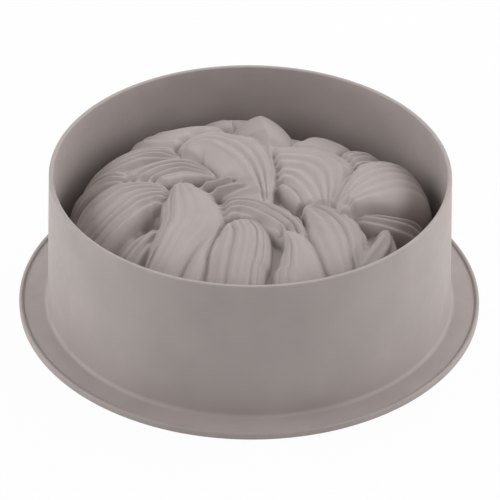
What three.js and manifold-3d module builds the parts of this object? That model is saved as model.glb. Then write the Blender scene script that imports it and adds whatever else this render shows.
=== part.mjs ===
// Silicone cake mould with a plaited, square-shouldered dome, standing mouth down on its rim flange.
// Millimetres, +Z up. The origin is on the table, in the middle of the cavity's mouth.
// The plait is laid out on the unrolled dome: +X to the right, +Y to the back, the crown in the middle.
import * as THREE from "three";
import { mergeVertices } from "three/addons/utils/BufferGeometryUtils.js";
import Module from "manifold-3d";

const wasm = await Module();
wasm.setup();

// Dome: a superellipse turned about Z, on which the plait stands
const domeRadius = 83;
const domeHeight = 57;
const domeSquareness = 6;

// Support skirt: the tall collar round the dome that the mould stands on while it is filled
const skirtHeight = 78;
const skirtClearance = 17.6;
const skirtWall = 2.3;
const skirtDraft = 2.6;
const skirtRootFillet = 2.2;
const skirtRimRounding = 0.5;

// Rim flange, which spreads from the dome's mouth to past the skirt, and the raised bead round its edge
const flangeBrim = 14.6;
const flangeThickness = 2.5;
const beadWidth = 2;
const beadHeight = 3.5;
const beadRounding = 0.8;

// Radii that follow from the dome outwards
const skirtRootRadius = domeRadius + skirtClearance + skirtWall;
const skirtRimRadius = skirtRootRadius - skirtDraft;
const flangeRadius = skirtRootRadius + flangeBrim;

// Walls of the braided skin: an inner lining all over, and a skin on each strand outside it
const liningWall = 1.5;
const crownDepth = 15;
const strandSkin = 1.2;
const strandRelief = 8.5;
const ribDepth = 1.6;
const strandTip = 9;
const seamGap = 0.3;

// Fineness of the faceted surfaces
const turnSegments = 64;
const arcSegments = 2;
const domeSegments = 32;
const domeSteps = 10;
const stationSpacing = 15;
const finestDetail = 0.05;

// The plait, top strand first. A route runs outwards over the dome, in hundredths of the distance from the
// crown to the mouth. Each point is [across, back, left, right], with the half widths to either side.
// A fifth number is the place of the main rib there, from which the grooves are counted.
// Grooves are places across the strand, from -1 at its right edge to 1 at its left, seen along the route.
// Height is a share of strandRelief. A hollow strand is roomy enough for the cavity to reach up inside it.
const strands = [
  {
    name: "strand_front_left",
    height: 1.09,
    hollow: true,
    grooves: [-0.82, -0.6],
    route: [
      [-25.8, 2.5, 6, 6.5], [-24, -3, 10.2, 11], [-22.3, -11, 11.8, 12.8],
      [-22.8, -20, 11.2, 12.6], [-26.6, -30, 8.4, 10.6], [-30.2, -41, 7, 9.2],
      [-33.8, -50, 7, 8.6], [-41, -64, 8.5, 9], [-57, -88, 13, 13],
    ],
  },
  {
    name: "strand_front",
    height: 1.09,
    hollow: true,
    grooves: [-0.44, -0.24, 0.44, 0.64],
    route: [
      [-4, -22.5, 9.5, 9.5], [-2.6, -27, 10.6, 11.4], [-2.7, -33, 11.4, 12.4],
      [-3.8, -42, 12, 13], [-5, -53, 11.2, 12.4], [-9, -105, 15, 15],
    ],
  },
  {
    name: "strand_right_front",
    height: 1.09,
    hollow: true,
    grooves: [-0.18, 0.27, 0.8],
    route: [
      [21.5, -10.5, 2.4, 2.4], [25, -13.2, 6, 6.4], [29.8, -18.5, 9, 9.6],
      [33.5, -27, 10.2, 10.8], [35, -35, 9.4, 10], [36, -42, 8, 8.6], [39, -52, 8, 8],
      [53, -91, 13, 13],
    ],
  },
  {
    name: "strand_front_right",
    height: 1.04,
    hollow: true,
    grooves: [-0.68, -0.42],
    route: [
      [14.8, -28.5, 3.2, 3], [17, -31.5, 5.6, 4.8], [18.8, -37, 7.8, 7], [19, -47, 10, 9],
      [19, -56, 11, 10.5], [29, -101, 14, 14],
    ],
  },
  {
    name: "fan_left",
    height: 1.08,
    hollow: true,
    grooves: [-0.74, -0.48, -0.22, 0.06, 0.34, 0.64],
    route: [
      [-31.5, 0, 5, 4], [-35, 0.2, 8, 6.5], [-40, 0, 10.5, 11], [-46, -3, 11, 17.5],
      [-51, -9, 10.5, 22], [-58, -17, 11, 24], [-72, -26, 15, 24], [-97, -38, 21, 24],
    ],
  },
  {
    name: "arch_left",
    height: 1.04,
    hollow: true,
    grooves: [-0.16, 0.14, 0.46],
    route: [
      [-43, 3, 10, 6], [-40, 8, 13, 7.5], [-35, 13, 12.6, 10], [-30, 15.8, 11.2, 12],
      [-26, 16.4, 9.8, 10.5], [-20.5, 14.6, 6.8, 8], [-16, 11.8, 3, 3.6],
    ],
  },
  {
    name: "finger_upper",
    height: 1.13,
    hollow: false,
    route: [
      [-20, 4.8, 1.2, 1.2], [-14, 8.2, 1.4, 1.4], [-7.2, 10.8, 1.2, 1.2],
    ],
  },
  {
    name: "finger_lower",
    height: 1.08,
    hollow: false,
    route: [
      [-17, 1.2, 1.2, 1.2], [-11, 4.2, 1.4, 1.4], [-3.2, 6.2, 1.2, 1.2],
    ],
  },
  {
    name: "band_centre",
    height: 1.01,
    hollow: true,
    grooves: [-0.36, 0.34],
    route: [
      [-12, -13.5, 5, 5], [-5, -9.2, 6.4, 6.4], [1, -10, 7.2, 7.2], [6.5, -13.5, 7.8, 7.8],
      [11.5, -18, 8.4, 8.4], [15.5, -23, 7.4, 7.4], [18.5, -29, 5, 6.5],
    ],
  },
  {
    name: "arch_centre",
    height: 1.15,
    hollow: true,
    grooves: [0.26, 0.5, 0.72],
    route: [
      [-21, 17, 12.6, 8, 0.6], [-16.5, 21.5, 14.2, 8, 0.55], [-11.5, 24.5, 18.6, 8, 0.42],
      [-6.5, 24, 16.4, 8.5, 0.16], [-3, 20.5, 14, 9.5, 0], [-0.8, 16, 13, 11, -0.05],
      [0.6, 11.5, 12.4, 13, -0.08], [1, 7, 11, 15, 0], [1.6, 2, 9, 14, 0.06],
      [3, -4, 6.6, 10, 0.06],
    ],
  },
  {
    name: "slip_right",
    height: 0.85,
    hollow: false,
    route: [
      [11.5, 4.4, 1.5, 1.5], [14.2, 3, 1.8, 1.8], [17, -1, 1.8, 1.8], [19.4, -7, 1.4, 1.4],
    ],
  },
  {
    name: "arch_right",
    height: 1.04,
    hollow: true,
    grooves: [-0.78, -0.4, -0.02, 0.34, 0.64],
    route: [
      [10, 15, 14, 10], [14, 15.4, 15.5, 11], [18.5, 13.6, 18, 11], [22, 9, 18, 10.5],
      [25, 3, 13, 10], [27, -4.5, 8.5, 9], [28, -11, 6.5, 7],
    ],
  },
  {
    name: "fan_right",
    height: 1.32,
    hollow: true,
    grooves: [-0.04, 0.22, 0.46, 0.72],
    route: [
      [34.5, -11, 2.5, 5], [38, -1.5, 8, 12], [43, 5, 13, 17.5], [49, 12, 13.5, 19],
      [56, 18, 13.5, 20.5], [66, 25, 14, 21], [80, 35, 17, 20], [97, 46, 22, 22],
    ],
  },
  {
    name: "knob_back",
    height: 1.22,
    hollow: true,
    roundness: 1.2,
    route: [
      [8, 26, 2.5, 2.5], [7, 35, 7.5, 8.5], [5.8, 44, 9.5, 11], [4, 54, 11.5, 12.5],
      [3, 70, 14, 14], [3, 105, 18, 18],
    ],
  },
  {
    name: "strand_back_left",
    height: 1.11,
    hollow: true,
    route: [
      [-7, 43, 5, 5], [-15, 43, 9, 12], [-25, 41.5, 13, 15], [-32, 41, 14, 13.5],
      [-38, 44.5, 13, 12], [-42.5, 54, 13, 12], [-52, 86, 17, 17],
    ],
  },
  {
    name: "strand_back_right",
    height: 0.8,
    hollow: true,
    grooves: [0],
    route: [
      [35, 21, 4, 4], [39, 28, 6, 6], [45, 34, 6.4, 6.4], [52, 41, 6.5, 6.5], [74, 74, 10, 10],
    ],
  },
  {
    name: "strand_left_back",
    height: 1.13,
    hollow: true,
    grooves: [-0.3, 0.3],
    route: [
      [-36.5, 27, 3.5, 4], [-43, 27, 7, 8], [-49, 25, 8.8, 10.5], [-55, 22.5, 9.6, 11.5],
      [-62, 22.5, 10.5, 11.5], [-71, 29, 12, 12], [-92, 50, 16, 16],
    ],
  },
  {
    name: "strand_back_right_low",
    height: 0.52,
    hollow: false,
    route: [
      [19, 31, 7, 7], [24, 37, 10, 10], [31, 46, 10.5, 10.5], [50, 92, 15, 15],
    ],
  },
  {
    name: "strand_front_left_low",
    height: 0.96,
    hollow: false,
    route: [
      [-12, -21, 2, 2], [-15, -29, 3.4, 3.4], [-18.6, -40, 5.4, 5.4], [-20.5, -50, 7, 7],
      [-33, -99, 10, 10],
    ],
  },
  {
    name: "strand_right_low",
    height: 0.66,
    hollow: false,
    grooves: [0.05],
    route: [
      [39, -12.5, 3, 3], [47, -12, 4.8, 4.8], [55, -10.5, 5.6, 5.6], [63, -6.5, 6.5, 6.5],
      [74, -3, 9, 9], [104, -6, 15, 15],
    ],
  },
  {
    name: "tail_right_front",
    height: 0.94,
    hollow: false,
    grooves: [-0.3, 0.32],
    route: [
      [51.4, -20.5, 3.4, 3.2], [51, -25, 6, 5.4], [48, -31, 7.4, 6.6], [44.4, -37, 7.4, 6.6],
      [45, -46, 8, 7], [55, -54, 9, 9], [85, -63, 17, 17],
    ],
  },
  {
    name: "strand_left_far",
    height: 1.25,
    hollow: true,
    grooves: [0],
    route: [
      [-51, 14, 5, 5], [-57, 15, 7, 8], [-64, 13, 8.5, 10], [-75, 10, 10, 12],
      [-104, 5, 15, 15],
    ],
  },
  {
    name: "strand_left_low",
    height: 0.64,
    hollow: false,
    grooves: [-0.38, 0.3],
    route: [
      [-33.5, -20, 2.5, 2.5], [-37.5, -25, 4.4, 4.4], [-42, -31, 5.6, 5.6],
      [-47, -38, 6.6, 6.6], [-55, -47, 9, 9], [-82, -68, 15, 15],
    ],
  },
  {
    name: "strand_back_low",
    height: 0.94,
    hollow: true,
    route: [
      [-4, 47, 8, 8], [-5, 58, 13, 13], [-10, 75, 15, 15], [-18, 102, 18, 18],
    ],
  },
];

// Plain section of a strand: places across it, and how square its shoulders are
const loafPlaces = [-1, -0.88, -0.5, 0, 0.5, 0.88, 1];
const loafRoundness = 4.5;

// Section of the hollow inside a strand: [place across, share of height]
const hollowSection = [[-1, 0], [-0.6, 0.74], [0.6, 0.74], [1, 0]];

// Reach of a groove to either side, and the closest that two places of a section may be,
// as shares of a half width
const grooveReach = 0.14;
const closestPlaces = 0.06;

// How deep below the dome's face a strand's solid reaches, and how far the dome's solid runs past the mouth
const strandRoot = 4 * liningWall;
const mouthOverrun = 6;

// Share of a strand's section that is left at the very end of a rounded tip,
// and the share of a bend's radius that a strand may fill on the inside of the bend
const tipShare = 0.5;
const bendShare = 0.7;

// Outline of the dome, as the distance walked from the crown with the radius and height reached there.
function walkDome() {
  const fineSteps = 400;
  const power = 2 / domeSquareness;
  const walk = [{ distance: 0, radius: 0, height: domeHeight }];
  for (let i = 1; i <= fineSteps; i++) {
    const turn = (i / fineSteps) * (Math.PI / 2);
    const radius = domeRadius * Math.sin(turn) ** power;
    const height = domeHeight * Math.max(Math.cos(turn), 0) ** power;
    const last = walk[i - 1];
    const step = Math.hypot(radius - last.radius, height - last.height);
    walk.push({ distance: last.distance + step, radius, height });
  }
  return walk;
}

const domeWalk = walkDome();
const crownToMouth = domeWalk[domeWalk.length - 1].distance;

// Radius and height on the dome at a distance from the crown, lifted off its face by lift.
function domeOutline(distance, lift) {
  if (distance >= crownToMouth) return { radius: domeRadius + lift, height: crownToMouth - distance };
  let i = 1;
  while (domeWalk[i].distance < distance) i++;
  const before = domeWalk[i - 1];
  const after = domeWalk[i];
  const span = after.distance - before.distance;
  const share = (distance - before.distance) / span;
  const alongRadius = (after.radius - before.radius) / span;
  const alongHeight = (after.height - before.height) / span;
  return {
    radius: before.radius + share * span * alongRadius - lift * alongHeight,
    height: before.height + share * span * alongHeight + lift * alongRadius,
  };
}

// Point over the dome from its unrolled coordinates, both in millimetres from the crown.
function overDome(across, back, lift) {
  const outline = domeOutline(Math.hypot(across, back), lift);
  const bearing = Math.atan2(back, across);
  return new THREE.Vector3(
    outline.radius * Math.cos(bearing),
    outline.radius * Math.sin(bearing),
    outline.height,
  );
}

// Solids from three.js geometry, and meshes back from solids
function solidOf(geometry) {
  const bare = geometry.clone();
  bare.deleteAttribute("normal");
  bare.deleteAttribute("uv");
  const merged = mergeVertices(bare, 1e-4);
  const mesh = new wasm.Mesh({
    numProp: 3,
    vertProperties: new Float32Array(merged.attributes.position.array),
    triVerts: new Uint32Array(merged.index.array),
  });
  return new wasm.Manifold(mesh);
}

// The largest body of what a cut has left
function mainBody(solid) {
  const bodies = solid.decompose();
  return bodies.reduce((largest, body) => (body.volume() > largest.volume() ? body : largest));
}

function geometryOf(solid) {
  const mesh = mainBody(solid.simplify(finestDetail)).getMesh();
  const geometry = new THREE.BufferGeometry();
  geometry.setAttribute("position", new THREE.BufferAttribute(mesh.vertProperties, 3));
  geometry.setIndex(new THREE.BufferAttribute(mesh.triVerts, 1));
  geometry.computeVertexNormals();
  return geometry;
}

function siliconeMesh(name, geometry) {
  const material = new THREE.MeshStandardMaterial({ color: 0xaea39f, roughness: 0.62, metalness: 0 });
  const mesh = new THREE.Mesh(geometry, material);
  mesh.name = name;
  return mesh;
}

// Ring or dome turned about Z from [radius, height] points that run counter-clockwise in the half plane.
function turned(profile, segments) {
  const points = profile.map(([radius, height]) => new THREE.Vector2(radius, height));
  const geometry = new THREE.LatheGeometry(points, segments);
  geometry.rotateX(Math.PI / 2);
  return geometry;
}

// Points of an arc in the half plane, from one bearing to another in quarter turns.
function arc(centreRadius, centreHeight, size, from, to) {
  const points = [];
  for (let i = 0; i <= arcSegments; i++) {
    const bearing = (from + ((to - from) * i) / arcSegments) * (Math.PI / 2);
    points.push([centreRadius + size * Math.cos(bearing), centreHeight + size * Math.sin(bearing)]);
  }
  return points;
}

function closed(profile) {
  return [...profile, profile[0]];
}

// Closed solid with flat ends through equal sections, each a ring of points that its first point sees.
function loft(sections) {
  const count = sections[0].length;
  const positions = sections.flat().flatMap((point) => point.toArray());
  const faces = [];
  for (let i = 0; i + 1 < sections.length; i++) {
    for (let k = 0; k < count; k++) {
      const near = i * count + k;
      const nearNext = i * count + ((k + 1) % count);
      faces.push(near, near + count, nearNext, nearNext, near + count, nearNext + count);
    }
  }
  const lastStart = (sections.length - 1) * count;
  for (let k = 1; k + 1 < count; k++) {
    faces.push(0, k, k + 1);
    faces.push(lastStart, lastStart + k + 1, lastStart + k);
  }
  const geometry = new THREE.BufferGeometry();
  geometry.setAttribute("position", new THREE.Float32BufferAttribute(positions, 3));
  geometry.setIndex(faces);
  return geometry;
}

// How sharply a strand's centre line turns to the left at a place from 0 to 1, in radians per millimetre
function turnAt(curve, place) {
  const reach = 0.04;
  const from = Math.max(place - reach, 0);
  const to = Math.min(place + reach, 1);
  const before = curve.getTangentAt(from);
  const after = curve.getTangentAt(to);
  const turn = Math.atan2(before.x * after.y - before.y * after.x, before.x * after.x + before.y * after.y);
  return turn / ((to - from) * curve.getLength());
}

// Stations along a strand, in millimetres on the unrolled dome. Growth swells its section and its tips.
function stationsOf(strand, growth) {
  const hundredth = crownToMouth / 100;
  const knots = strand.route.map(
    ([across, back]) => new THREE.Vector3(across * hundredth, back * hundredth, 0),
  );
  const curve = new THREE.CatmullRomCurve3(knots, false, "centripetal");
  const length = curve.getLength();
  const tip = Math.min(strandTip, length / 3);
  const end = knots[knots.length - 1];
  const hasEndTip = end.length() < crownToMouth;
  const bodyLength = length - (hasEndTip ? 2 : 1) * tip;
  const steps = Math.max(1, Math.round(bodyLength / stationSpacing));
  const distances = [0];
  for (let i = 0; i <= steps; i++) distances.push(tip + (bodyLength * i) / steps);
  if (hasEndTip) distances.push(length);
  return distances.map((distance) => {
    const place = Math.min(distance / length, 1);
    const centre = curve.getPointAt(place);
    const heading = curve.getTangentAt(place);
    const startNear = Math.max(0, 1 - distance / tip);
    const endNear = hasEndTip ? Math.max(0, 1 - (length - distance) / tip) : 0;
    const near = Math.max(startNear, endNear);
    const share = Math.max(tipShare, Math.sqrt(1 - near * near));
    const push = (endNear - startNear) * growth;
    const [left, right, mainRib] = routeValues(strand.route, curve.getUtoTmapping(place));
    const turn = turnAt(curve, place);
    const bendRoom = bendShare / Math.abs(turn);
    const leftHalf = share * left * hundredth;
    const rightHalf = share * right * hundredth;
    return {
      across: centre.x + heading.x * push,
      back: centre.y + heading.y * push,
      heading,
      left: Math.max((turn > 0 ? Math.min(leftHalf, bendRoom) : leftHalf) + growth, seamGap),
      right: Math.max((turn < 0 ? Math.min(rightHalf, bendRoom) : rightHalf) + growth, seamGap),
      crest: Math.max(share * strand.height * strandRelief + growth, seamGap),
      grooveDepth: ((share - tipShare) / (1 - tipShare)) * (1 - Math.abs(mainRib)) * ribDepth,
      mainRib,
    };
  });
}

// Half widths and main rib of a route at a place from 0 to 1, its points taken as evenly placed
function routeValues(route, place) {
  const before = Math.min(Math.floor(place * (route.length - 1)), route.length - 2);
  const share = place * (route.length - 1) - before;
  const here = route[before];
  const next = route[before + 1];
  return [2, 3, 4].map((i) => THREE.MathUtils.lerp(here[i] ?? 0, next[i] ?? 0, share));
}

// Places across a ribbed strand: its grooves, and the crests of the ribs on either side of them
function ribPlaces(grooves) {
  const first = grooves[0];
  const last = grooves[grooves.length - 1];
  const crests = grooves.slice(1).map((groove, i) => (groove + grooves[i]) / 2);
  crests.push(Math.max(first - grooveReach, (first - 1) / 2), Math.min(last + grooveReach, (last + 1) / 2));
  return [...grooves, ...crests];
}

// Section of a strand's outside at a station, as [side, lift] points from its right edge to its left
function outsideOf(strand) {
  const grooves = strand.grooves ?? [];
  const ribs = grooves.length > 0 ? ribPlaces(grooves) : [];
  const plain = loafPlaces.filter((place) => ribs.every((rib) => Math.abs(rib - place) > closestPlaces));
  const places = [...plain, ...ribs].sort((a, b) => a - b);
  const roundness = strand.roundness ?? loafRoundness;
  return ({ crest, grooveDepth, mainRib }) =>
    places.map((place) => {
      const side = mainRib + place * (1 - Math.sign(place) * mainRib);
      const loaf = Math.sqrt(1 - Math.abs(side) ** roundness);
      const depth = grooves.includes(place) ? grooveDepth : 0;
      return [side, Math.max(loaf * crest - depth, 0)];
    });
}

const hollowOf = ({ crest }) => hollowSection.map(([side, up]) => [side, up * crest]);

// Solid of one strand over the dome, swollen by growth, or shrunk where growth is negative.
function lobe(strand, sectionAt, growth) {
  const sections = stationsOf(strand, growth).map((station) => {
    const { across, back, heading, left, right } = station;
    const place = ([side, lift]) => {
      const sideways = side * (side > 0 ? left : right);
      return overDome(across - heading.y * sideways, back + heading.x * sideways, lift);
    };
    const ring = [[0, -strandRoot], [-1, -strandRoot], ...sectionAt(station), [1, -strandRoot]];
    return ring.map(place);
  });
  return solidOf(loft(sections));
}

// Solid dome with its face lifted by lift, run on below the mouth.
function domeSolid(lift) {
  const profile = [[0, -mouthOverrun], [domeRadius + lift, -mouthOverrun]];
  for (let i = domeSteps; i > 0; i--) {
    const outline = domeOutline((crownToMouth * i) / domeSteps, lift);
    profile.push([outline.radius, outline.height]);
  }
  profile.push([0, domeHeight + lift]);
  return solidOf(turned(profile, domeSegments));
}

function unionOf(solids) {
  return solids.reduce((joined, solid) => joined.add(solid));
}

// Depths below a strand's face: its own skin, the lining's outer face, and the cavity
const liningDepth = strandSkin + seamGap;
const cavityDepth = liningDepth + liningWall;

const hollowStrands = strands.filter((strand) => strand.hollow);
const swollenDome = (lift, depth) =>
  unionOf([domeSolid(lift), ...hollowStrands.map((strand) => lobe(strand, hollowOf, -depth))]);

const cavity = swollenDome(-liningWall, cavityDepth);
const liningOutside = swollenDome(0, liningDepth);
const strandSeat = swollenDome(seamGap, strandSkin);

// Everything under a level
function levelBlock(level) {
  const depth = level + 4 * mouthOverrun;
  const block = new THREE.BoxGeometry(4 * flangeRadius, 4 * flangeRadius, depth);
  block.translate(0, 0, level - depth / 2);
  return solidOf(block);
}

// Everything under the level at which the dome stands on the flange
const standLevel = flangeThickness + seamGap;
const belowStand = levelBlock(standLevel);

function rimFlange() {
  const edge = flangeRadius - beadWidth - seamGap;
  const inside = domeRadius / 2;
  const section = [[inside, 0], [edge, 0], [edge, flangeThickness], [inside, flangeThickness]];
  const plate = turned(closed(section), turnSegments);
  return siliconeMesh("rim_flange", geometryOf(solidOf(plate).subtract(cavity)));
}

function rimBead() {
  const inside = flangeRadius - beadWidth;
  const shoulder = beadHeight - beadRounding;
  const profile = [
    [inside, 0],
    [flangeRadius, 0],
    ...arc(flangeRadius - beadRounding, shoulder, beadRounding, 0, 1),
    ...arc(inside + beadRounding, shoulder, beadRounding, 1, 2),
  ];
  return siliconeMesh("rim_bead", turned(closed(profile), turnSegments));
}

function supportSkirt() {
  const rootInside = skirtRootRadius - skirtWall;
  const rimInside = skirtRimRadius - skirtWall;
  const filletHeight = flangeThickness + skirtRootFillet;
  const rimShoulder = skirtHeight - skirtRimRounding;
  const profile = [
    ...arc(skirtRootRadius + skirtRootFillet, filletHeight, skirtRootFillet, 3, 2),
    ...arc(skirtRimRadius - skirtRimRounding, rimShoulder, skirtRimRounding, 0, 1),
    ...arc(rimInside + skirtRimRounding, rimShoulder, skirtRimRounding, 1, 2),
    ...arc(rootInside - skirtRootFillet, filletHeight, skirtRootFillet, 0, -1),
  ];
  return siliconeMesh("support_skirt", turned(closed(profile), turnSegments));
}

// Block over the quarter of the plan that faces a bearing, in quarter turns from +X.
// It ends half a seam inside the quarter's edges.
function quarterBlock(bearing, from, to) {
  const reach = 2 * flangeRadius;
  const block = new THREE.BoxGeometry(reach, reach, to - from);
  const middle = (reach + seamGap) / 2;
  block.translate(middle, middle, (from + to) / 2);
  block.rotateZ((bearing - 0.5) * (Math.PI / 2));
  return solidOf(block);
}

// The lining is a crown, which reaches down over the dome's shoulder, on four quarters of wall.
function cavityLining() {
  const lining = liningOutside.subtract(cavity).subtract(belowStand);
  const crownLevel = domeHeight - crownDepth;
  const crown = lining.subtract(levelBlock(crownLevel + seamGap / 2));
  const quarters = ["right", "back", "left", "front"];
  const walls = quarters.map((side, bearing) => {
    const block = quarterBlock(bearing, 0, crownLevel - seamGap / 2);
    return siliconeMesh("cavity_wall_" + side, geometryOf(lining.intersect(block)));
  });
  return [siliconeMesh("cavity_crown", geometryOf(crown)), ...walls];
}

// Strands from the top down: each is cut back from those that lie over it and seated on the lining.
function plaitStrands() {
  let above = belowStand;
  return strands.map((strand) => {
    const outside = outsideOf(strand);
    const skin = lobe(strand, outside, 0).subtract(strandSeat).subtract(above);
    above = above.add(lobe(strand, outside, seamGap));
    return siliconeMesh(strand.name, geometryOf(skin));
  });
}

const plait = new THREE.Group();
plait.add(...plaitStrands());

const mould = new THREE.Group();
mould.add(rimFlange(), rimBead(), supportSkirt(), ...cavityLining(), plait);

export default mould;
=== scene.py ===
"""Silicone cake mould with a plaited dome, standing mouth down on its rim flange.

The moulded body is turned about Z. The plaited skin is laid out on the unrolled dome, where a place is
given as across (to the right) and back, in hundredths of the distance from the crown to the mouth.
Lengths are in millimetres until a mesh is made. The stage, the lamps and the camera are in metres.
"""
import math

import bmesh
import bpy
import numpy as np
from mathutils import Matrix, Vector


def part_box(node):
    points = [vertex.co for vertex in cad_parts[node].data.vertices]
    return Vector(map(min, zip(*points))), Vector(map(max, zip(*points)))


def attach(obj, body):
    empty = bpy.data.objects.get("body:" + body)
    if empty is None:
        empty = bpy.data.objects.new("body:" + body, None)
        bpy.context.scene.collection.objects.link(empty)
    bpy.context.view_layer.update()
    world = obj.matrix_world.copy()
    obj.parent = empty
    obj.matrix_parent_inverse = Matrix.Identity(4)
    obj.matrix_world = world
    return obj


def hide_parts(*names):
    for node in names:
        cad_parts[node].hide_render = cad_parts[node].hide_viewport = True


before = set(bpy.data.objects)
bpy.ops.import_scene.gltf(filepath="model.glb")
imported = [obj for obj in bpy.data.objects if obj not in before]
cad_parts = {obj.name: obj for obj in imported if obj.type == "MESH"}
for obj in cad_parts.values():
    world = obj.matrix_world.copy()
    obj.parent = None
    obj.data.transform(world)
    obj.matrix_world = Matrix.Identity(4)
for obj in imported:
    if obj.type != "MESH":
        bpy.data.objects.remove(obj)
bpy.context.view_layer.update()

MILLIMETRE = 0.001
WHITE = (1.0, 1.0, 1.0, 1.0)

# Sizes of the moulded body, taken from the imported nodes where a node's box gives them
bead_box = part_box("rim_bead")
flange_radius = bead_box[1][0] / MILLIMETRE
bead_height = bead_box[1][2] / MILLIMETRE
flange_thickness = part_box("rim_flange")[1][2] / MILLIMETRE
skirt_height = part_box("support_skirt")[1][2] / MILLIMETRE
bead_width = 2.0
bead_rounding = 0.8
foot_rounding = 0.4
skirt_root_fillet = 2.2
skirt_root_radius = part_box("support_skirt")[1][0] / MILLIMETRE - skirt_root_fillet
skirt_draft = 2.6
skirt_wall = 2.3
skirt_rim_rounding = 0.75

# The shallow groove that runs round inside the bead
groove_width = 0.9
groove_depth = 0.35
groove_wall = 0.3
groove_corner = 0.2
groove_lip = 0.05

# The moulded body's mesh: steps round the turn and its arcs, and rings up the skirt and across the flange
turn_steps = 256
arc_steps = 6
foot_steps = 4
skirt_rings = np.linspace(0.1, 0.9, 9)
flange_rings = (0.05, 0.35, 0.65, 0.95)

# The dome under the plait: a superellipse turned about Z
dome_radius = 83.0
dome_height = 57.0
dome_squareness = 6.0
dome_steps = 4000
walk_steps = 1200

# The plaited skin's wall and mesh, with a lining that has half as many rings
skin_wall = 2.4
skin_rings = 220
ring_crowding = 0.72
skin_softening = 1
lining_step = 2
lining_lowering = 4
lining_softening = 6

# How the strands are rounded, ribbed, blended and pressed together
end_tip = 0.9
outside_slope = 2.5
rib_rounding = 1.6
rib_strength = 1.7
rib_fade = 3.0
full_rib_width = 7.0
blend_width = 0.6
press_start = 0.9
press_reach = 4.5

# The search for the nearest point of a strand's route
knot_steps = 40
route_spacing = 0.8
fewest_route_points = 8
search_margin = 1.0
places_at_once = 6000
least_spread = 0.2
far_below = -50.0


class Strand:
    """One strand of the plait.

    Its route has points (across, back, left, right), with the half widths to either side. Rise is its
    height over the dome, press is how far it pushes the strands below it down at its edges, and tip is the
    length of its rounded start as a share of the half width there. Grooves between its ribs are (place,
    depth), with place from -1 at its right edge to 1 at its left edge, seen along the route. Bumps are
    (place, width, height). A higher roundness makes its section squarer, with a value of its own for the
    right side where one is given, and steepness is the power that shapes its flanks.
    """

    def __init__(
        self, rise, press, route, grooves=(), bumps=(),
        roundness=3.6, right_roundness=None, steepness=0.5, tip=0.9,
    ):
        self.rise = rise
        self.press = press
        self.route = np.array(route, dtype=float)
        self.grooves = grooves
        self.bumps = bumps
        self.roundness = roundness
        self.right_roundness = right_roundness or roundness
        self.steepness = steepness
        self.tip = tip


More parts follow.
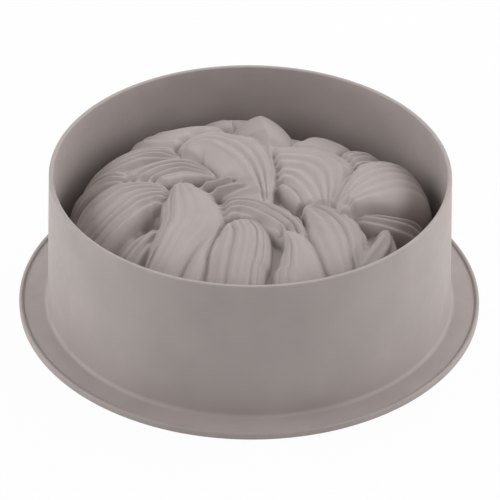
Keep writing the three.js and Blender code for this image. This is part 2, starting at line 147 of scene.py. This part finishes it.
# The plait, top strand first
plait = {
    "front_left": Strand(
        rise=9.6, press=2.2, roundness=2.4, right_roundness=3.6, tip=0.8,
        route=[
            (-25.8, 2.5, 6.6, 6.5), (-24, -3, 11.2, 11), (-22.3, -11, 13.2, 12.8),
            (-22.8, -20, 12.8, 12.6), (-26.6, -30, 10, 10.6), (-30.2, -41, 8.6, 9.2),
            (-33.8, -50, 8.4, 8.6), (-41, -64, 9.5, 9), (-57, -88, 13, 13),
        ],
        grooves=[
            (-1, 0), (-0.82, 1.1), (-0.62, 1.0), (-0.3, 0.4), (0.05, 0.4), (0.4, 0.3), (0.72, 0.2),
            (1, 0),
        ],
    ),
    "front": Strand(
        rise=9.3, press=2.2, roundness=3.2, tip=0.5,
        route=[
            (-4, -22.5, 9.5, 9.5), (-2.6, -27, 10.6, 11.4), (-2.7, -33, 11.4, 12.4),
            (-3.8, -42, 12, 13), (-5, -53, 11.2, 12.4), (-9, -105, 15, 15),
        ],
        grooves=[
            (-1, 0), (-0.72, 0.6), (-0.26, 1.1), (0.0, 0.4), (0.22, 0.3), (0.46, 0.7), (0.68, 0.6),
            (0.86, 0.4), (1, 0),
        ],
    ),
    "tail_right_front": Strand(
        rise=8.2, press=1.2, roundness=2.6,
        route=[
            (51, -20.5, 3.6, 2.6), (50.6, -25, 6, 3.8), (48, -31, 7.4, 4.4), (44.6, -37, 8, 4.2),
            (42, -44, 9, 4), (46, -54, 12, 5), (70, -72, 17, 12),
        ],
        grooves=[(-1, 0), (-0.1, 0.6), (0.42, 1.5), (1, 0)],
    ),
    "right_front": Strand(
        rise=9.6, press=2.2, roundness=3.0, right_roundness=1.9,
        route=[
            (22.5, -10.5, 3, 3), (26, -13, 7.5, 7.4), (30.4, -18.3, 11, 11), (33.7, -27, 12, 12),
            (35, -35, 11, 11), (36, -42, 9, 9.6), (39, -52, 8.5, 9), (53, -91, 13, 13),
        ],
        grooves=[(-1, 0), (-0.6, 0.4), (-0.18, 0.6), (0.2, 1.1), (0.5, 0.7), (0.76, 0.8), (1, 0)],
    ),
    "front_right": Strand(
        rise=9.0, press=2.2, roundness=2.3, right_roundness=3.4,
        route=[
            (14.8, -28.5, 4.4, 3), (17, -31.5, 7.6, 4.8), (18.8, -37, 9.8, 7), (19, -47, 12, 9),
            (19, -56, 12.6, 10.5), (29, -101, 15, 14),
        ],
        grooves=[(-1, 0), (-0.7, 0.8), (-0.42, 0.7), (-0.1, 0.3), (0.35, 0.25), (1, 0)],
    ),
    "fan_left": Strand(
        rise=9.2, press=2.2,
        route=[
            (-31.5, 0, 5, 4), (-35, 0.2, 8, 6.5), (-40, 0, 10.5, 11), (-46, -3, 11, 17.5),
            (-51, -9, 10.5, 22), (-58, -17, 11, 24), (-72, -26, 15, 24), (-97, -38, 21, 24),
        ],
        grooves=[
            (-1, 0), (-0.74, 0.8), (-0.48, 0.8), (-0.22, 0.9), (0.06, 0.8), (0.34, 1.0), (0.64, 1.0),
            (1, 0),
        ],
    ),
    "arch_left": Strand(
        rise=8.8, press=2.2,
        route=[
            (-43, 3, 10, 6), (-40, 8, 13, 7.5), (-35, 13, 12.6, 10), (-30, 15.8, 11.2, 12),
            (-26, 16.4, 9.8, 10.5), (-20.5, 14.6, 6.8, 8), (-16, 11.8, 3, 3.6),
        ],
        grooves=[(-0.5, 0), (-0.16, 1.3), (0.14, 1.4), (0.46, 1.3), (0.7, 0.8), (0.9, 0.6), (1, 0)],
    ),
    "finger_upper": Strand(
        rise=9.4, press=1.6, roundness=2.0,
        route=[(-20, 3.4, 1.4, 1.4), (-14, 6.6, 1.6, 1.6), (-7.8, 9.4, 1.3, 1.3)],
    ),
    "finger_lower": Strand(
        rise=9.2, press=1.6, roundness=2.0,
        route=[(-17, -0.6, 1.4, 1.4), (-11, 2.6, 1.6, 1.6), (-2.6, 5, 1.2, 1.2)],
    ),
    "band_centre": Strand(
        rise=9.2, press=2.0, roundness=3.0,
        route=[
            (-13, -11, 5, 7), (-5, -7.6, 6.4, 10), (1, -8.6, 7.2, 11.5), (6.5, -12.4, 7.8, 11),
            (11.5, -17.4, 8.4, 10.5), (15.5, -23, 7.4, 9), (18.5, -29, 5, 6.5),
        ],
        grooves=[(-1, 0), (-0.52, 1.1), (-0.14, 1.3), (0.24, 1.3), (0.62, 1.1), (1, 0)],
    ),
    "arch_centre": Strand(
        rise=9.8, press=3.4, roundness=4.2, right_roundness=1.25, tip=0.8,
        route=[
            (-25, 29.5, 4.5, 11), (-21, 33.5, 7.4, 12), (-16.5, 34.2, 13, 12.5), (-13, 31, 19, 13.5),
            (-9, 26.5, 20, 15.5), (-5, 21.5, 17, 19), (-1.5, 15, 13.2, 22), (1, 7, 10, 20),
            (3, 0, 6.6, 14), (4, -5, 5, 9),
        ],
        grooves=[(-0.14, 0), (0.22, 0.8), (0.47, 0.8), (0.8, 0.7), (1, 0)],
        bumps=[(0.0, 0.09, 0.5)],
    ),
    "slip_right": Strand(
        rise=7.6, press=1.0, roundness=2.0, steepness=0.8,
        route=[(11.5, 6.4, 2, 3.4), (14.2, 4.6, 2.6, 4.2), (16.8, 0.4, 2.6, 3.8), (19.2, -6, 1.8, 2.2)],
    ),
    "arch_right": Strand(
        rise=8.8, press=3.4, roundness=4.2,
        route=[
            (10, 15, 20, 10.5), (14, 15.4, 23, 11), (18.5, 13.6, 26, 11), (22, 9, 23, 10.5),
            (25, 3, 15, 10.5), (27, -4.5, 9, 9.5), (28, -11, 6.5, 7),
        ],
        grooves=[
            (-1, 0), (-0.7, 0.6), (-0.2, 0.8), (0.12, 0.8), (0.36, 0.8), (0.58, 0.7), (0.8, 0.6),
            (1, 0),
        ],
    ),
    "fan_right": Strand(
        rise=13.4, press=2.2, roundness=3.2,
        route=[
            (35.5, -11, 3, 5), (39.5, -3.5, 9, 11), (44.5, 3, 14.5, 16), (50.5, 10, 15.5, 17.5),
            (57.5, 16, 15.5, 18.5), (67, 23, 16, 19), (80, 33, 18, 19), (97, 44, 22, 22),
        ],
        grooves=[
            (-0.7, 0), (-0.4, 0.4), (-0.14, 0.6), (0.12, 0.8), (0.36, 0.9), (0.6, 0.9), (0.82, 0.8),
            (1, 0),
        ],
    ),
    "knob_back": Strand(
        rise=10.4, press=0.7, roundness=1.35, steepness=0.85,
        route=[
            (8, 26, 2.5, 2.5), (7, 35, 7.5, 8.5), (5.8, 44, 9.5, 11), (4, 54, 11.5, 12.5),
            (3, 70, 14, 14), (3, 105, 18, 18),
        ],
    ),
    "left_back": Strand(
        rise=9.6, press=1.4, roundness=3.0,
        route=[
            (-29.5, 26.5, 3.5, 4), (-36, 28, 6, 7), (-43, 27.5, 7.5, 9), (-49, 25, 8.8, 10.5),
            (-55, 22.5, 9.6, 11.5), (-62, 22.5, 10.5, 11.5), (-71, 29, 12, 12), (-92, 50, 16, 16),
        ],
        grooves=[(-1, 0), (-0.62, 0.7), (-0.3, 0.8), (0, 1.0), (0.3, 1.0), (0.62, 0.9), (1, 0)],
    ),
    "back_left": Strand(
        rise=9.6, press=1.8, roundness=3.0,
        route=[
            (-10, 41, 5, 5), (-16, 42.5, 9, 10), (-24, 42, 12.5, 15), (-32, 41, 14, 15),
            (-38, 44.5, 13, 14), (-42.5, 54, 13, 13), (-52, 86, 17, 17),
        ],
        grooves=[(-1, 0), (-0.5, 0.4), (-0.1, 0.5), (0.26, 0.5), (0.6, 0.4), (1, 0)],
    ),
    "back_right": Strand(
        rise=7.0, press=1.8, roundness=3.2,
        route=[
            (36.5, 23.5, 4, 4), (40.5, 30.5, 6.2, 6.2), (46.5, 36.5, 6.8, 6.8), (53, 43, 7, 7),
            (74, 74, 10, 10),
        ],
        grooves=[(-1, 0), (-0.5, 1.1), (0, 1.2), (0.5, 1.1), (1, 0)],
    ),
    "back_right_low": Strand(
        rise=4.4, press=1.5, roundness=3.0,
        route=[(19, 31, 7, 7), (24, 37, 10, 10), (31, 46, 10.5, 10.5), (50, 92, 15, 15)],
    ),
    "front_left_low": Strand(
        rise=8.6, press=1.5, roundness=2.0,
        route=[
            (-12, -21, 2, 2), (-15, -29, 3.8, 3.6), (-18.6, -40, 5.8, 5.8), (-20.5, -50, 7.4, 7.4),
            (-33, -99, 11, 11),
        ],
        grooves=[(0.1, 0), (0.5, 0.9), (1, 0)],
    ),
    "right_low": Strand(
        rise=7.2, press=1.2, roundness=2.4,
        route=[
            (39, -12.5, 3, 3.4), (47, -12, 4.8, 6), (55, -10.5, 5.6, 7.2), (63, -6.5, 6.5, 8.5),
            (74, -3, 9, 10), (104, -6, 15, 15),
        ],
        grooves=[(-1, 0), (-0.45, 1.0), (0.05, 1.2), (0.5, 0.9), (1, 0)],
    ),
    "left_far": Strand(
        rise=10.6, press=1.2, roundness=3.4,
        route=[
            (-51, 14, 5, 5), (-57, 15, 7, 8), (-64, 13, 8.5, 10), (-75, 10, 10, 12), (-104, 5, 15, 15),
        ],
        grooves=[(-1, 0), (-0.5, 1.0), (0, 1.1), (0.5, 1.0), (1, 0)],
    ),
    "left_low": Strand(
        rise=5.4, press=1.2, roundness=3.0,
        route=[
            (-33.5, -20, 2.5, 2.5), (-37.5, -25, 4.4, 4.4), (-42, -31, 5.6, 5.6), (-47, -38, 6.6, 6.6),
            (-55, -47, 9, 9), (-82, -68, 15, 15),
        ],
        grooves=[(-1, 0), (-0.38, 1.2), (0.3, 1.2), (1, 0)],
    ),
    "back_low": Strand(
        rise=9.6, press=1.2, roundness=2.4, tip=0.35,
        route=[(-7, 62, 22, 16), (-7, 68, 22, 17), (-8, 80, 20, 19), (-12, 102, 20, 20)],
    ),
}

# Deep hollows where strands meet: (across, back, radius, depth), the depth in millimetres
hollows = [
    (-38, -15, 3.6, 9.0),
    (-42, -20.5, 2.6, 6.0),
    (20.9, -7.8, 1.5, 5.0),
    (17.6, -12.4, 1.4, 4.0),
    (11.6, 19.2, 1.2, 2.5),
    (12.0, 8.2, 1.2, 2.5),
    (9.6, 0.6, 1.2, 2.0),
    (44.5, -19, 2.0, 3.5),
    (60, -20, 4.0, 5.0),
    (-6.2, 8.6, 1.0, 1.6),
    (-12.5, -3, 2.6, 3.0),
]


def walk_dome():
    """Distance walked from the crown, with the radius, the height and the outward normal reached there."""
    turn = np.linspace(0.0, math.pi / 2, dome_steps)
    power = 2.0 / dome_squareness
    radius = dome_radius * np.sin(turn) ** power
    height = dome_height * np.clip(np.cos(turn), 0.0, 1.0) ** power
    distance = np.concatenate([[0.0], np.cumsum(np.hypot(np.diff(radius), np.diff(height)))])
    even = np.linspace(0.0, distance[-1], walk_steps)
    radius = np.interp(even, distance, radius)
    height = np.interp(even, distance, height)
    along_radius = np.gradient(radius, even)
    along_height = np.gradient(height, even)
    length = np.hypot(along_radius, along_height)
    return even, radius, height, -along_height / length, along_radius / length


walk, walk_radius, walk_height, normal_radius, normal_height = walk_dome()
crown_to_mouth = walk[-1]
hundredth = crown_to_mouth / 100.0


def smooth_route(route):
    """Points evenly spaced on a Catmull-Rom curve through the route's points, in millimetres."""
    knots = route * hundredth
    before = 2 * knots[0] - knots[1]
    after = 2 * knots[-1] - knots[-2]
    padded = np.vstack([before, knots, after])
    share = np.linspace(0.0, 1.0, knot_steps, endpoint=False)[:, None]
    fine = []
    for knot in range(1, len(padded) - 2):
        first, second, third, fourth = padded[knot - 1:knot + 3]
        fine.append(0.5 * (
            2 * second + (third - first) * share
            + (2 * first - 5 * second + 4 * third - fourth) * share ** 2
            + (3 * second - first - 3 * third + fourth) * share ** 3
        ))
    fine.append(knots[-1:])
    fine = np.vstack(fine)
    steps = np.hypot(np.diff(fine[:, 0]), np.diff(fine[:, 1]))
    along = np.concatenate([[0.0], np.cumsum(steps)])
    count = max(fewest_route_points, int(along[-1] / route_spacing))
    even = np.linspace(0.0, along[-1], count)
    return even, np.stack([np.interp(even, along, column) for column in fine.T], axis=1)


def ease(value):
    """Smooth step from 0 at 0 to 1 at 1."""
    held = np.clip(value, 0.0, 1.0)
    return held * held * (3.0 - 2.0 * held)


def strand_heights(strand, places):
    """Height of a strand over the dome at places on the unrolled dome, and how near each place is to it."""
    along, line = smooth_route(strand.route)
    heading = np.gradient(line[:, :2], along, axis=0)
    heading /= np.hypot(heading[:, 0], heading[:, 1])[:, None]
    turn = np.gradient(np.unwrap(np.arctan2(heading[:, 1], heading[:, 0])), along)
    reach = line[:, 2:].max() + press_reach + search_margin
    low = line[:, :2].min(axis=0) - reach
    high = line[:, :2].max(axis=0) + reach
    close = np.flatnonzero(np.all((places > low) & (places < high), axis=1))
    height = np.full(len(places), far_below)
    nearness = np.zeros(len(places))
    ends_inside = np.hypot(*line[-1, :2]) < crown_to_mouth
    for part in np.array_split(close, max(1, len(close) // places_at_once)):
        here = places[part]
        away = here[:, None, :] - line[None, :, :2]
        nearest = np.argmin((away ** 2).sum(axis=2), axis=1)
        offset = here - line[nearest, :2]
        ahead = (offset * heading[nearest]).sum(axis=1)
        aside = heading[nearest, 0] * offset[:, 1] - heading[nearest, 1] * offset[:, 0]
        spread = np.clip(1.0 - turn[nearest] * aside, least_spread, None)
        position = along[nearest] + np.clip(ahead / spread, -along[1] / 2, along[1] / 2)
        left = np.interp(position, along, line[:, 2])
        right = np.interp(position, along, line[:, 3])
        half = np.where(aside > 0.0, left, right)
        across = aside / half
        beyond = np.where((nearest == 0) & (ahead < 0.0), -ahead / (strand.tip * half), 0.0)
        if ends_inside:
            past_end = (nearest == len(along) - 1) & (ahead > 0.0)
            beyond = np.where(past_end, ahead / (end_tip * half), beyond)
        edge = np.hypot(across, beyond)
        roundness = np.where(aside > 0.0, strand.roundness, strand.right_roundness)
        inside = np.clip(1.0 - edge ** roundness, 0.0, 1.0)
        fall = outside_slope * half * np.clip(edge - 1.0, 0.0, None)
        loaf = strand.rise * inside ** strand.steepness - fall
        ribs = rib_relief(strand, across) * ease(rib_fade * inside) * ease(1.0 - beyond)
        loaf += rib_strength * ribs * np.minimum(half / full_rib_width, 1.0)
        height[part] = loaf
        nearness[part] = 1.0 - ease((edge - press_start) * half / press_reach)
    return height, nearness


def rib_relief(strand, across):
    """Depth of the grooves between a strand's ribs, zero on the ribs' crests, and the bumps on them."""
    relief = np.zeros(len(across))
    if strand.grooves:
        place, depth = np.array(strand.grooves, dtype=float).T
        slot = np.clip(np.searchsorted(place, across) - 1, 0, len(place) - 2)
        share = (across - place[slot]) / (place[slot + 1] - place[slot])
        crest = np.abs(np.sin(math.pi * np.clip(share, 0.0, 1.0))) ** rib_rounding
        local_depth = depth[slot] + (depth[slot + 1] - depth[slot]) * np.clip(share, 0.0, 1.0)
        within = (across > place[0]) & (across < place[-1])
        relief += np.where(within, local_depth * (crest - 1.0), 0.0)
    for place, width, height in strand.bumps:
        relief += height * np.exp(-((across - place) / width) ** 2)
    return relief


def plait_heights(places):
    """Height of the plait over the dome at places on the unrolled dome."""
    total = np.zeros(len(places))
    pressed = np.zeros(len(places))
    for strand in plait.values():
        height, nearness = strand_heights(strand, places)
        height = height - pressed
        mix = np.clip(0.5 + 0.5 * (height - total) / blend_width, 0.0, 1.0)
        total = total + (height - total) * mix + blend_width * mix * (1.0 - mix)
        pressed = np.maximum(pressed, strand.press * nearness)
    for across, back, radius, depth in hollows:
        away = np.hypot(places[:, 0] - across * hundredth, places[:, 1] - back * hundredth)
        total -= depth * np.exp(-(away / (radius * hundredth)) ** 2)
    return total


def square_rings(rings):
    """Ring number and bearing of each point of a square grid that is wound into even rings."""
    index = np.arange(-rings, rings + 1)
    across, back = np.meshgrid(index, index)
    ring = np.maximum(np.abs(across), np.abs(back))
    safe = np.maximum(ring, 1)
    quarter = math.pi / 4
    bearing = np.where(across == ring, quarter * back / safe, 0.0)
    on_back = (back == ring) & (across != ring)
    bearing = np.where(on_back, 2 * quarter - quarter * across / safe, bearing)
    on_left = (across == -ring) & (back != ring) & (across != ring)
    bearing = np.where(on_left, 4 * quarter - quarter * back / safe, bearing)
    on_front = (back == -ring) & (across != ring) & (across != -ring)
    bearing = np.where(on_front, 6 * quarter + quarter * across / safe, bearing)
    return ring, bearing


def over_dome(distance, bearing, lift):
    """Points over the dome at a distance from the crown and a bearing, lifted off its face."""
    radius = np.interp(distance, walk, walk_radius) + lift * np.interp(distance, walk, normal_radius)
    height = np.interp(distance, walk, walk_height) + lift * np.interp(distance, walk, normal_height)
    return np.stack([radius * np.cos(bearing), radius * np.sin(bearing), height], axis=-1)


def soften(field, times):
    """Field averaged half and half with its four neighbours on the grid."""
    for _ in range(times):
        edge = np.pad(field, 1, mode="edge")
        beside = edge[1:-1, :-2] + edge[1:-1, 2:] + edge[:-2, 1:-1] + edge[2:, 1:-1]
        field = 0.5 * field + 0.125 * beside
    return field


def lowest(field, times):
    """Field lowered to the least of its neighbours on the grid."""
    for _ in range(times):
        edge = np.pad(field, 1, mode="edge")
        beside = [edge[1:-1, :-2], edge[1:-1, 2:], edge[:-2, 1:-1], edge[2:, 1:-1]]
        field = np.minimum.reduce([field, *beside])
    return field


def grid_faces(side, start, outward):
    """Quads of a square grid of points, numbered from start."""
    number = start + np.arange(side * side).reshape(side, side)
    corners = [number[:-1, :-1], number[:-1, 1:], number[1:, 1:], number[1:, :-1]]
    faces = np.stack(corners, axis=-1).reshape(-1, 4)
    return faces if outward else faces[:, ::-1]


def border(side, start):
    """Numbers of the points round the edge of a square grid, in order."""
    number = start + np.arange(side * side).reshape(side, side)
    return np.concatenate([number[0, :-1], number[:-1, -1], number[-1, :0:-1], number[:0:-1, 0]])


def new_object(name, points, faces):
    """Smooth-shaded mesh object from points in millimetres, with its faces turned outwards."""
    mesh = bpy.data.meshes.new(name)
    mesh.from_pydata((np.asarray(points) * MILLIMETRE).tolist(), [], faces)
    build = bmesh.new()
    build.from_mesh(mesh)
    bmesh.ops.recalc_face_normals(build, faces=build.faces)
    build.to_mesh(mesh)
    build.free()
    mesh.shade_smooth()
    made = bpy.data.objects.new(name, mesh)
    bpy.context.scene.collection.objects.link(made)
    return made


def plaited_skin():
    """The dome's wall as one closed skin, and its outer radius at the mouth by bearing."""
    ring, bearing = square_rings(skin_rings)
    share = ring / skin_rings
    distance = crown_to_mouth * (ring_crowding * share + (1.0 - ring_crowding) * share ** 3)
    places = np.stack([distance * np.cos(bearing), distance * np.sin(bearing)], axis=-1).reshape(-1, 2)
    lift = soften(plait_heights(places).reshape(ring.shape), skin_softening)
    outside = over_dome(distance, bearing, lift).reshape(-1, 3)
    coarse = (slice(None, None, lining_step), slice(None, None, lining_step))
    inner_lift = soften(lowest(lift, lining_lowering), lining_softening)[coarse] - skin_wall
    inside = over_dome(distance[coarse], bearing[coarse], inner_lift).reshape(-1, 3)
    side = len(lift)
    inner_side = len(inner_lift)
    faces = grid_faces(side, 0, True).tolist() + grid_faces(inner_side, side * side, False).tolist()

    # Each stretch of the lining's rim closes on two stretches of the outer rim
    rim = border(side, 0)
    inner_rim = border(inner_side, side * side)
    near = rim[::lining_step]
    middle = rim[1::lining_step]
    stretches = [near, inner_rim, np.roll(inner_rim, -1), np.roll(near, -1), middle]
    faces += np.stack(stretches, axis=-1).tolist()
    skin = new_object("plaited_skin", np.vstack([outside, inside]), faces)
    mouth = outside[rim]
    mouth_bearing = np.arctan2(mouth[:, 1], mouth[:, 0])
    order = np.argsort(mouth_bearing)
    return skin, mouth_bearing[order], np.hypot(mouth[order, 0], mouth[order, 1])


def arc(centre_radius, centre_height, size, start, end, steps=arc_steps):
    """Points of an arc in the half plane, from one bearing to another in quarter turns."""
    bearings = np.linspace(start, end, steps + 1) * (math.pi / 2)
    return [
        (centre_radius + size * math.cos(bearing), centre_height + size * math.sin(bearing))
        for bearing in bearings
    ]


def body_profile():
    """Outline of the body from its underside round the bead, over the flange and skirt, to the trough."""
    shoulder = bead_height - bead_rounding
    bead_inside = flange_radius - bead_width
    groove_floor = flange_thickness - groove_depth
    groove_end = bead_inside - groove_width
    fillet_height = flange_thickness + skirt_root_fillet
    root_inside = skirt_root_radius - skirt_wall
    rim_radius = skirt_root_radius - skirt_draft
    rim_inside = rim_radius - skirt_wall
    rim_shoulder = skirt_height - skirt_rim_rounding
    outer_face = [
        (skirt_root_radius - skirt_draft * share, fillet_height + (rim_shoulder - fillet_height) * share)
        for share in skirt_rings
    ]
    inner_face = [(radius - skirt_wall, height) for radius, height in reversed(outer_face)]
    brim = [
        (groove_end + (skirt_root_radius + skirt_root_fillet - groove_end) * share, flange_thickness)
        for share in flange_rings
    ]
    return [
        *arc(flange_radius - foot_rounding, foot_rounding, foot_rounding, -1, 0, foot_steps),
        *arc(flange_radius - bead_rounding, shoulder, bead_rounding, 0, 1),
        *arc(bead_inside + bead_rounding, shoulder, bead_rounding, 1, 2),
        (bead_inside, groove_floor + groove_wall),
        (bead_inside - groove_corner, groove_floor),
        (groove_end, flange_thickness - groove_lip),
        *brim,
        *arc(skirt_root_radius + skirt_root_fillet, fillet_height, skirt_root_fillet, 3, 2),
        *outer_face,
        *arc(rim_radius - skirt_rim_rounding, rim_shoulder, skirt_rim_rounding, 0, 1),
        *arc(rim_inside + skirt_rim_rounding, rim_shoulder, skirt_rim_rounding, 1, 2),
        *inner_face,
        *arc(root_inside - skirt_root_fillet, fillet_height, skirt_root_fillet, 0, -1),
    ]


def moulded_body(mouth_bearing, mouth_radius):
    """Flange, bead and skirt as one turned ring whose inner edge runs inside the skin's wall."""
    profile = body_profile()
    bearings = np.linspace(-math.pi, math.pi, turn_steps, endpoint=False)
    wall_middle = np.interp(bearings, mouth_bearing, mouth_radius, period=2 * math.pi) - skin_wall / 2
    rings = [np.full((turn_steps, 2), point) for point in profile]
    rings.append(np.stack([wall_middle, np.full(turn_steps, flange_thickness)], axis=1))
    rings.append(np.stack([wall_middle, np.zeros(turn_steps)], axis=1))
    outline = np.stack(rings, axis=1)
    radius = outline[..., 0]
    points = np.stack(
        [radius * np.cos(bearings)[:, None], radius * np.sin(bearings)[:, None], outline[..., 1]], axis=-1
    )
    count = outline.shape[1]
    number = np.arange(turn_steps * count).reshape(turn_steps, count)
    turned = np.roll(number, -1, axis=0)
    corners = [number, turned, np.roll(turned, -1, axis=1), np.roll(number, -1, axis=1)]
    faces = np.stack(corners, axis=-1).reshape(-1, 4).tolist()
    return new_object("moulded_body", points.reshape(-1, 3), faces)


def silicone():
    """Matte taupe silicone: slight mottling, a powdery sheen and a fine moulded grain."""
    dark_taupe = (0.405, 0.355, 0.34, 1.0)
    light_taupe = (0.45, 0.395, 0.378, 1.0)
    smoother = (0.52, 0.52, 0.52, 1.0)
    rougher = (0.64, 0.64, 0.64, 1.0)
    material = bpy.data.materials.new("silicone")
    material.use_nodes = True
    tree = material.node_tree
    shader = tree.nodes["Principled BSDF"]
    shader.inputs["Sheen Weight"].default_value = 0.08
    shader.inputs["Sheen Roughness"].default_value = 0.6
    shader.inputs["Specular IOR Level"].default_value = 0.35
    place = tree.nodes.new("ShaderNodeTexCoord").outputs["Object"]

    def noise(scale, detail):
        node = tree.nodes.new("ShaderNodeTexNoise")
        node.inputs["Scale"].default_value = scale
        node.inputs["Detail"].default_value = detail
        tree.links.new(place, node.inputs["Vector"])
        return node.outputs["Fac"]

    def ramp(value, low, high, start, end):
        node = tree.nodes.new("ShaderNodeValToRGB")
        node.color_ramp.elements[0].position = low
        node.color_ramp.elements[1].position = high
        node.color_ramp.elements[0].color = start
        node.color_ramp.elements[1].color = end
        tree.links.new(value, node.inputs["Fac"])
        return node.outputs["Color"]

    mottling = noise(scale=38.0, detail=4.0)
    colour = ramp(mottling, low=0.3, high=0.7, start=dark_taupe, end=light_taupe)
    tree.links.new(colour, shader.inputs["Base Color"])
    patches = noise(scale=160.0, detail=3.0)
    rough = ramp(patches, low=0.35, high=0.65, start=smoother, end=rougher)
    tree.links.new(rough, shader.inputs["Roughness"])
    bump = tree.nodes.new("ShaderNodeBump")
    bump.inputs["Strength"].default_value = 0.12
    bump.inputs["Distance"].default_value = 0.0004
    grain = noise(scale=900.0, detail=4.0)
    tree.links.new(grain, bump.inputs["Height"])
    tree.links.new(bump.outputs["Normal"], shader.inputs["Normal"])
    return material


def background_rays(tree):
    """1 for rays that show the background as it is: from the camera, a gloss or a clear body."""
    path = tree.nodes.new("ShaderNodeLightPath")
    total = path.outputs["Is Camera Ray"]
    for name in ("Is Glossy Ray", "Is Transmission Ray"):
        add = tree.nodes.new("ShaderNodeMath")
        add.operation = "ADD"
        add.use_clamp = True
        tree.links.new(total, add.inputs[0])
        tree.links.new(path.outputs[name], add.inputs[1])
        total = add.outputs["Value"]
    return total


def white_floor():
    """Pale floor that shows white to the camera and keeps a soft shadow under the flange."""
    half = 3.0
    drop = 0.0002
    pale_grey = (0.8, 0.8, 0.8, 1.0)
    glow_share = 0.96
    corners = [(-half, -half, 0), (half, -half, 0), (half, half, 0), (-half, half, 0)]
    mesh = bpy.data.meshes.new("floor")
    mesh.from_pydata(corners, [], [(0, 1, 2, 3)])
    floor = bpy.data.objects.new("floor", mesh)
    floor.location.z = -drop
    bpy.context.scene.collection.objects.link(floor)
    material = bpy.data.materials.new("floor")
    material.use_nodes = True
    tree = material.node_tree
    tree.nodes.remove(tree.nodes["Principled BSDF"])
    diffuse = tree.nodes.new("ShaderNodeBsdfDiffuse")
    diffuse.inputs["Color"].default_value = pale_grey
    glow = tree.nodes.new("ShaderNodeEmission")
    glow.inputs["Strength"].default_value = 1.0
    shown = tree.nodes.new("ShaderNodeMath")
    shown.operation = "MULTIPLY"
    shown.inputs[1].default_value = glow_share
    tree.links.new(background_rays(tree), shown.inputs[0])
    mix = tree.nodes.new("ShaderNodeMixShader")
    tree.links.new(shown.outputs["Value"], mix.inputs["Fac"])
    tree.links.new(diffuse.outputs["BSDF"], mix.inputs[1])
    tree.links.new(glow.outputs["Emission"], mix.inputs[2])
    tree.links.new(mix.outputs["Shader"], tree.nodes["Material Output"].inputs["Surface"])
    mesh.materials.append(material)


def studio_world(strength):
    """White behind the object, and a softer even light on it."""
    world = bpy.data.worlds.new("studio")
    bpy.context.scene.world = world
    world.use_nodes = True
    tree = world.node_tree
    soft = tree.nodes["Background"]
    soft.inputs["Color"].default_value = WHITE
    soft.inputs["Strength"].default_value = strength
    white = tree.nodes.new("ShaderNodeBackground")
    white.inputs["Color"].default_value = WHITE
    mix = tree.nodes.new("ShaderNodeMixShader")
    tree.links.new(background_rays(tree), mix.inputs["Fac"])
    tree.links.new(soft.outputs["Background"], mix.inputs[1])
    tree.links.new(white.outputs["Background"], mix.inputs[2])
    tree.links.new(mix.outputs["Shader"], tree.nodes["World Output"].inputs["Surface"])


def soft_light(name, place, size, power):
    """Large square lamp that faces the middle of the mould."""
    middle = Vector((0.0, 0.0, 0.04))
    lamp = bpy.data.lights.new(name, "AREA")
    lamp.shape = "SQUARE"
    lamp.size = size
    lamp.energy = power
    made = bpy.data.objects.new(name, lamp)
    made.location = place
    aim = middle - made.location
    made.rotation_euler = aim.to_track_quat("-Z", "Y").to_euler()
    bpy.context.scene.collection.objects.link(made)


def photo_camera():
    """Long lens from the front, 34.9 degrees above the table, with the photo's slight roll."""
    pitch = math.radians(34.9)
    roll = math.radians(0.593)
    distance = 1.5515
    aim = Vector((0.00015, 0.0, 0.02939))
    lens = bpy.data.cameras.new("camera")
    lens.sensor_width = 36.0
    lens.lens = 220.4
    camera = bpy.data.objects.new("camera", lens)
    view = Vector((0.0, math.cos(pitch), -math.sin(pitch)))
    camera.location = aim - distance * view
    camera.rotation_euler = (math.pi / 2 - pitch, 0.0, 0.0)
    camera.rotation_euler.rotate_axis("Z", roll)
    bpy.context.scene.collection.objects.link(camera)
    bpy.context.scene.camera = camera


bpy.context.scene.view_settings.view_transform = "Standard"
photo_camera()
white_floor()
studio_world(strength=0.1)
soft_light("left_light", place=(-1.1, 0.1, 0.5), size=1.0, power=8.1)
soft_light("right_light", place=(1.1, 0.1, 0.5), size=1.0, power=7.6)
soft_light("back_light", place=(0.0, 0.5, 0.9), size=0.7, power=3.2)
soft_light("right_back_light", place=(0.9, 0.9, 0.7), size=0.8, power=3.4)
soft_light("front_left_light", place=(-0.88, -0.88, 0.8), size=0.8, power=4.0)
soft_light("front_right_light", place=(0.88, -0.88, 0.8), size=0.8, power=3.8)

plaited, mouth_bearing, mouth_radius = plaited_skin()
body = moulded_body(mouth_bearing, mouth_radius)
rubber = silicone()
for piece in (plaited, body):
    piece.data.materials.append(rubber)
    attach(piece, "root")
skin_nodes = [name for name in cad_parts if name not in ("rim_flange", "rim_bead", "support_skirt")]
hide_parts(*skin_nodes)
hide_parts("rim_flange", "rim_bead", "support_skirt")
